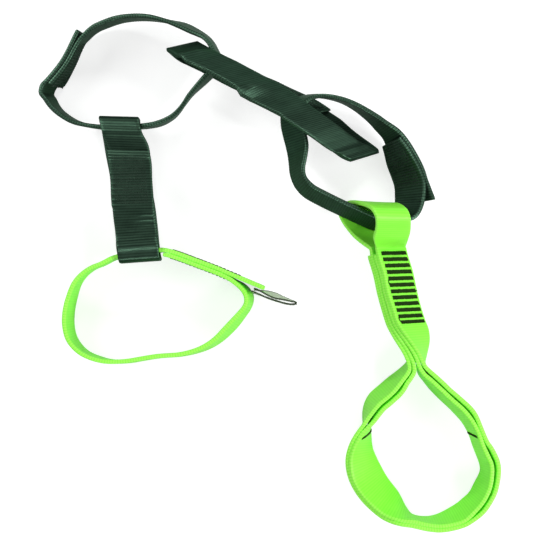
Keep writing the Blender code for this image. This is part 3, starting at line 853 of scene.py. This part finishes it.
def seam(number, ribbon, arc, faces, paint, row_length=SEAM_ROW_LENGTH, lap=LAP_LENGTH,
         rows=SEAM_ROWS):
    """Stitch rows across a lap, on both of its outer faces."""
    pitch = (lap - SEAM_MARGIN) / (rows - 1)
    paths = []
    for height in faces:
        for i in range(rows):
            where = arc + (i - (rows - 1) / 2) * pitch
            paths.append(zigzag(ribbon, where, row_length, SEAM_ROW_WIDTH, height, SEAM_PITCH,
                                SEAM_THREAD, number * 100 + i, stray=SEAM_STRAY))
    made = tubes(f"link_{number}_stitching", paths, SEAM_THREAD, paint, SEAM_SIDES)
    stands_for(made, f"link_{number}_seam_stitching")


def tie_in_link():
    """Link 1: its webbing, the bar tacks with their loose thread, and the keeper tacks."""
    guide, strip = link_1()
    dress(1, strip, LIME, LIME_RELIEF)
    face = LAYER_PITCH / 2 + FULL_THICKNESS / 2 - PLY_PRESS
    arcs = [guide.length - FIRST_TACK - i * BAR_TACK_PITCH for i in range(BAR_TACKS)]
    end = BAR_TACK_LENGTH / 2
    for i, arc in enumerate(arcs):
        paths = [zigzag(guide, arc, BAR_TACK_LENGTH, BAR_TACK_WIDTH, face, TACK_PITCH,
                        TACK_THREAD, BAR_TACK_SEED + i)]
        if i in LOOPED_TACKS:
            # A loop that bows out past the tacks' left ends
            point, _, way, normal = guide.at(np.linspace(arc, arcs[i + 1], 7))
            bow = np.sin(np.linspace(0, math.pi, 7))[:, None]
            paths.append(point + way * (end - 0.6 + 0.7 * bow) + normal * (face + 0.3))
        if i == LOOSE_TACK:
            # An end that sticks out at the right
            point, _, way, normal = guide.at(np.full(6, arc))
            reach = np.linspace(end - 1.0, end + 1.2, 6)[:, None]
            paths.append(point - way * reach + normal * (face + 0.2))
        tack = tubes(f"bar_tack_{i + 1:02d}", paths, TACK_THREAD, BLACK_THREAD)
        stands_for(tack, f"link_1_bar_tack_{i + 1:02d}")
    for side, x, y, slant in KEEPER_TACKS:
        path = zigzag(guide, guide.nearest(x, y), KEEPER_TACK_LENGTH, KEEPER_TACK_WIDTH, -face,
                      TACK_PITCH, TACK_THREAD, KEEPER_TACK_SEED, slant)
        tack = tubes(f"keeper_tack_{side}", [path], TACK_THREAD, BLACK_THREAD)
        stands_for(tack, f"link_1_keeper_tack_{side}")


def link_3_form(arcs, across):
    """Link 3: past a crease its high edge rolls over, and it bulges before both of its folds.

    Places and widths are in millimetres along the strap, or across it for an edge.
    """
    rolled = ramp(arcs, 161.0, 4.5) * ramp(arcs, 192.0, -20.0)
    edge = 3.8 * ramp(across, -6.0, 18.5) ** 2
    crease = 0.35 * hump(arcs, 160.0, 2.5)
    left_fold = 1.7 * hump(arcs, 123.5, 3.2) * ramp(across, -11.0, 8.0)
    right_fold = 1.3 * hump(arcs, 240.5, 3.4)
    return 0.0 * arcs, rolled * edge + crease - (left_fold + right_fold)


def link_5_form(arcs, across):
    """Link 5: its lap is sewn flat and wide, its free end is fluffy, and it puckers past the lap.

    It bulges before both of its folds. Places and widths are in millimetres along the strap.
    """
    lap = ramp(arcs, LAP_LENGTH + 1.0, -2.0)
    pucker = 0.30 * ramp(arcs, 3.0, 4.0) * ramp(arcs, 62.0, -10.0)
    pucker = pucker + 0.6 * hump(arcs, 43.0, 11.0)
    phase = 0.5 * np.sin(across / 6.0) + 0.25 * np.sin(across / 2.1 + arcs / 9.0)
    waves = np.sin(2 * math.pi * arcs / (2 * RIB_PITCH) + phase)
    swell = 0.6 + 0.4 * np.sin(arcs / 7.0 + across / 5.0)
    fluffy = 0.16 * hump(arcs, 3.0, 2.5) * np.sin(2 * math.pi * arcs / 1.9 + phase)
    fluffy = fluffy + 0.5 * hump(arcs, 1.0, 2.5)
    shoulders = 2.0 * hump(arcs, 57.5, 3.4) + 1.2 * hump(arcs, 216.0, 2.8)
    return 0.4 * lap, 0.17 * pucker * waves * swell + fluffy + shoulders


def links():
    """Every link, with its seam."""
    middle = LAP_LENGTH / 2
    top = FULL_THICKNESS / 2
    under = LAYER_PITCH + top
    tie_in_link()

    rings = (
        (2, lapped(2, ring_2()[::-1]), no_form),
        (3, lapped(3, ring_3(), FOLD_STEP), link_3_form),
        (4, lapped(4, ring_4()), no_form),
    )
    for number, ring, form in rings:
        dress(number, ring, DARK, DARK_RELIEF, form)
        tail = LAPS[number][-1]
        seam(number, ring, ring.length - middle - tail, (-top, under), DARK_THREAD)

    ring = lapped(5, ring_5(), FOLD_STEP)
    dress(5, ring, DARK, DARK_RELIEF, link_5_form)
    seam(5, ring, middle, (top, -under), DARK_THREAD)

    ring = lapped(6, ring_6(), lap=END_LAP_LENGTH)
    dress(6, ring, LIME, LIME_RELIEF)
    seam(6, ring, ring.length - END_LAP_LENGTH / 2 - END_SEAM_TAIL, (-top, under), BLACK_THREAD,
         END_SEAM_ROW_LENGTH, END_LAP_LENGTH, END_SEAM_ROWS)


def label():
    """The folded label tape and the thread round its upper and lower edges."""
    path = label_path()
    arcs = spaced(path, LABEL_STEP)
    point, _, way, normal = path.at(arcs)
    half = LABEL_HEIGHT / 2
    out = LABEL_THICKNESS / 2
    spots = np.linspace(half, -half, LABEL_POINTS)
    outline = [(across, out) for across in spots] + [(across, -out) for across in spots[::-1]]
    lines = [point + way * across + normal * off for across, off in outline]
    tape = swept_object("label_tape", arcs, lines, outline, LABEL)
    stands_for(tape, "link_6_label")

    where = np.linspace(0.0, path.length, int(path.length / EDGING_PITCH * EDGING_STEPS))
    point, _, way, normal = path.at(where)
    angle = where / EDGING_PITCH * 2 * math.pi
    paths = []
    for edge in (half, -half):
        turned = np.cos(angle)[:, None] * math.copysign(EDGING_REACH, edge)
        over = turned + edge - math.copysign(EDGING_INSET, edge)
        paths.append(point + way * over + normal * np.sin(angle)[:, None] * EDGING_HEIGHT)
    edging = tubes("label_edging", paths, EDGING_THREAD, BLACK_THREAD, EDGING_SIDES)
    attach(edging, "link_6")


def area_lamp(name, place, size, power):
    """A soft square lamp that faces the middle of the chain."""
    lamp = bpy.data.lights.new(name, "AREA")
    lamp.size = size
    lamp.energy = power
    made = bpy.data.objects.new(name, lamp)
    made.location = place
    way = [a - p for a, p in zip(LAMP_AIM, place)]
    made.rotation_mode = "QUATERNION"
    made.rotation_quaternion = type(made.location)(way).to_track_quat("-Z", "Y")
    bpy.context.scene.collection.objects.link(made)


def floor():
    """A pale floor that looks white, shows less in reflections and keeps a soft shadow."""
    n = Nodes("floor_white")
    rays = n.add("ShaderNodeLightPath")
    glow = n.add("ShaderNodeEmission")
    glow.inputs["Color"].default_value = (*WHITE, 1.0)
    gloss = n.maths("MULTIPLY", rays.outputs["Is Glossy Ray"], FLOOR_IN_GLOSS)
    seen = n.maths("MAXIMUM", rays.outputs["Is Camera Ray"], gloss)
    seen = n.maths("MAXIMUM", seen, rays.outputs["Is Transmission Ray"])
    n.link(n.maths("MULTIPLY", seen, FLOOR_GLOW), glow.inputs["Strength"])
    n.shader.inputs["Base Color"].default_value = (*FLOOR_COLOUR, 1.0)
    n.shader.inputs["Roughness"].default_value = 0.9
    n.shader.inputs["Specular IOR Level"].default_value = 0.0
    both = n.add("ShaderNodeAddShader")
    n.link(n.shader.outputs[0], both.inputs[0])
    n.link(glow.outputs[0], both.inputs[1])
    n.link(both.outputs[0], n.tree.nodes["Material Output"].inputs["Surface"])
    reach = FLOOR_REACH
    low = -FLOOR_DEPTH - SETTLED
    corners = [(-reach, -reach, low), (reach, -reach, low), (reach, reach, low),
               (-reach, reach, low)]
    mesh_object("floor", corners, [(0, 1, 2, 3)], n.material)


def light_and_camera():
    """Soft lamps, a pale world and the camera of the photograph."""
    world = bpy.data.worlds.new("studio")
    bpy.context.scene.world = world
    world.use_nodes = True
    background = world.node_tree.nodes["Background"]
    background.inputs["Color"].default_value = (*WHITE, 1.0)
    background.inputs["Strength"].default_value = WORLD_STRENGTH
    for name, place, size, power in LAMPS:
        area_lamp(name, place, size, power)

    camera = bpy.data.cameras.new("camera")
    camera.sensor_width = CAMERA_SENSOR
    camera.lens = CAMERA_LENS
    made = bpy.data.objects.new("camera", camera)
    made.location = CAMERA_PLACE
    bpy.context.scene.collection.objects.link(made)
    bpy.context.scene.camera = made
    bpy.context.scene.view_settings.view_transform = "Standard"


links()
label()
floor()
light_and_camera()
